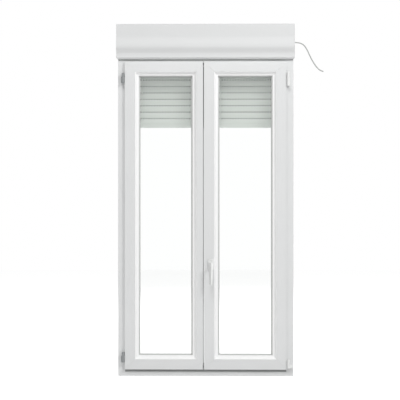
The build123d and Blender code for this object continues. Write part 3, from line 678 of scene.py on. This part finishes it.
# Motor cable: round lead in a light grey PVC sheath, springing out of the box's end
# through a grommet and falling in a loose curve.
sheath = plain_finish("grey_cable_sheath", "#b6b8b6", 0.4, mottle=0.004)
dress(sheath, "cable_grommet")
cap_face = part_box("box_end_cap_right")[1].x
grommet_low, grommet_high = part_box("cable_grommet")
exit_y = (grommet_low.y + grommet_high.y) / 2
exit_z = (grommet_low.z + grommet_high.z) / 2
cable_steps = [
    (-3.0, 0.0),
    (28.0, 0.0),
    (56.0, -12.0),
    (76.0, -42.0),
    (91.0, -77.0),
    (109.0, -111.0),
    (129.0, -141.0),
    (150.0, -160.0),
    (168.0, -166.0),
]
cable_radius = 0.0035
line = bpy.data.curves.new("motor_lead", "CURVE")
line.dimensions = "3D"
spline = line.splines.new("NURBS")
spline.points.add(len(cable_steps) - 1)
for point, (step_x, step_z) in zip(spline.points, cable_steps):
    point.co = (cap_face + step_x / 1000, exit_y, exit_z + step_z / 1000, 1)
spline.order_u = 3
spline.use_endpoint_u = True
spline.resolution_u = 16
line.bevel_depth = cable_radius
line.bevel_resolution = 6
line.use_fill_caps = True
line.materials.append(sheath)
lead = bpy.data.objects.new("motor_lead", line)
bpy.context.scene.collection.objects.link(lead)
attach(lead, "root")
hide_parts("motor_cable")

# Floor: plain pale plane. Seen straight, it is as white as the backdrop, and it
# keeps the window's soft shadow.
floor_mesh = bmesh.new()
bmesh.ops.create_grid(floor_mesh, x_segments=1, y_segments=1, size=12.0)
floor_paint, tree = start_material("pale_floor")
matt = add_node(
    tree,
    "ShaderNodeBsdfDiffuse",
    None,
    {"Color": (*linear("#f4f4f4"), 1)},
)
glow = add_node(tree, "ShaderNodeEmission", None, {"Color": (1, 1, 1, 1)})
path = add_node(tree, "ShaderNodeLightPath")
straight = add_node(
    tree,
    "ShaderNodeMath",
    {"operation": "MULTIPLY"},
    {0: path.outputs["Is Camera Ray"], 1: 0.62},
)
tree.links.new(straight.outputs["Value"], glow.inputs["Strength"])
floor_sum = add_node(
    tree, "ShaderNodeAddShader", None, {0: matt.outputs["BSDF"], 1: glow.outputs["Emission"]}
)
end_material(tree, floor_sum, "Shader")
floor = finish_mesh("floor", floor_mesh, floor_paint)

# Backdrop and room light: white where it is looked at or mirrored, a plain level for
# lighting.
world = bpy.data.worlds.new("studio")
bpy.context.scene.world = world
world.use_nodes = True
tree = world.node_tree
tree.nodes.clear()
path = add_node(tree, "ShaderNodeLightPath")
seen = add_node(
    tree,
    "ShaderNodeMath",
    {"operation": "MAXIMUM"},
    {0: path.outputs["Is Camera Ray"], 1: path.outputs["Is Transmission Ray"]},
)
seen = add_node(
    tree,
    "ShaderNodeMath",
    {"operation": "MAXIMUM"},
    {0: seen.outputs["Value"], 1: path.outputs["Is Glossy Ray"]},
)
lit = add_node(tree, "ShaderNodeBackground", None, {"Color": (1, 1, 1, 1), "Strength": 0.38})
white = add_node(tree, "ShaderNodeBackground", None, {"Color": (1, 1, 1, 1), "Strength": 1.0})
blend = add_node(
    tree,
    "ShaderNodeMixShader",
    None,
    {0: seen.outputs["Value"], 1: lit.outputs["Background"], 2: white.outputs["Background"]},
)
add_node(tree, "ShaderNodeOutputWorld", None, {"Surface": blend.outputs["Shader"]})


# Lamps: a panel behind for the outer side, a key panel from the upper right, and an
# overhead panel. Both front panels shade the sill, but the box is left out of their
# shadows, so that the leaves' tops are as light as the rest.
def soft_panel(name, place, aim, side, power):
    lamp = bpy.data.lights.new(name, "AREA")
    lamp.shape = "SQUARE"
    lamp.size = side
    lamp.energy = power
    holder = bpy.data.objects.new(name, lamp)
    holder.location = place
    holder.rotation_euler = (Vector(aim) - Vector(place)).to_track_quat("-Z", "Y").to_euler()
    holder.visible_camera = False
    holder.visible_glossy = False
    bpy.context.scene.collection.objects.link(holder)
    return holder


soft_panel("behind", (-1.8, 5.2, 4.2), (0, 0, 1.0), 2.0, 190.0)
key = soft_panel("key right", (3.6, -3.7, 5.0), (0, 0, 1.0), 0.9, 135.0)
overhead = soft_panel("overhead", (-0.6, -4.8, 7.4), (0, 0, 1.1), 2.4, 195.0)
passed = bpy.data.collections.new("casts_no_shadow")
leaf_top = right_ring[3]
box_contents = [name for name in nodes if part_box(name)[0].z > leaf_top]
for piece in [front, *caps, *(nodes[name] for name in box_contents)]:
    passed.objects.link(piece)
for entry in passed.collection_objects:
    entry.light_linking.link_state = "EXCLUDE"
overhead.light_linking.blocker_collection = passed
key.light_linking.blocker_collection = passed

# The handle is left out of the overhead panel, and has a small one on its right, so
# that its ridge shows as a light side and a dark side
grip_panel = soft_panel("beside handle", (0.75, -0.55, 0.85), (0.03, -0.09, 0.60), 0.2, 2.2)
near = bpy.data.collections.new("lit_beside_handle")
away = bpy.data.collections.new("left_out_of_overhead")
for piece in (lever, nodes["handle_rosette"]):
    near.objects.link(piece)
    away.objects.link(piece)
for entry in away.collection_objects:
    entry.light_linking.link_state = "EXCLUDE"
grip_panel.light_linking.receiver_collection = near
overhead.light_linking.receiver_collection = away

# The curtain, deep behind the panes, has a front panel of its own
curtain_panel = soft_panel("curtain front", (0, -4.5, 1.7), (0, 0, 1.6), 1.0, 38.0)
behind_glass = bpy.data.collections.new("lit_behind_glass")
for piece in (shades, nodes["hanging_slats"], nodes["bottom_bar"]):
    behind_glass.objects.link(piece)
curtain_panel.light_linking.receiver_collection = behind_glass

# Camera: almost square on, at the height of the window's middle.
eye_distance = 7.966
target = Vector((-0.032, -0.050, 1.004))
sideways = 0.15
camera_data = bpy.data.cameras.new("camera")
camera_data.sensor_width = 36.0
camera_data.lens = 126.0
camera = bpy.data.objects.new("camera", camera_data)
camera.location = target + Vector((sideways, -eye_distance, 0))
camera.rotation_euler = (target - camera.location).to_track_quat("-Z", "Y").to_euler()
bpy.context.scene.collection.objects.link(camera)
bpy.context.scene.camera = camera
bpy.context.scene.view_settings.view_transform = "Standard"
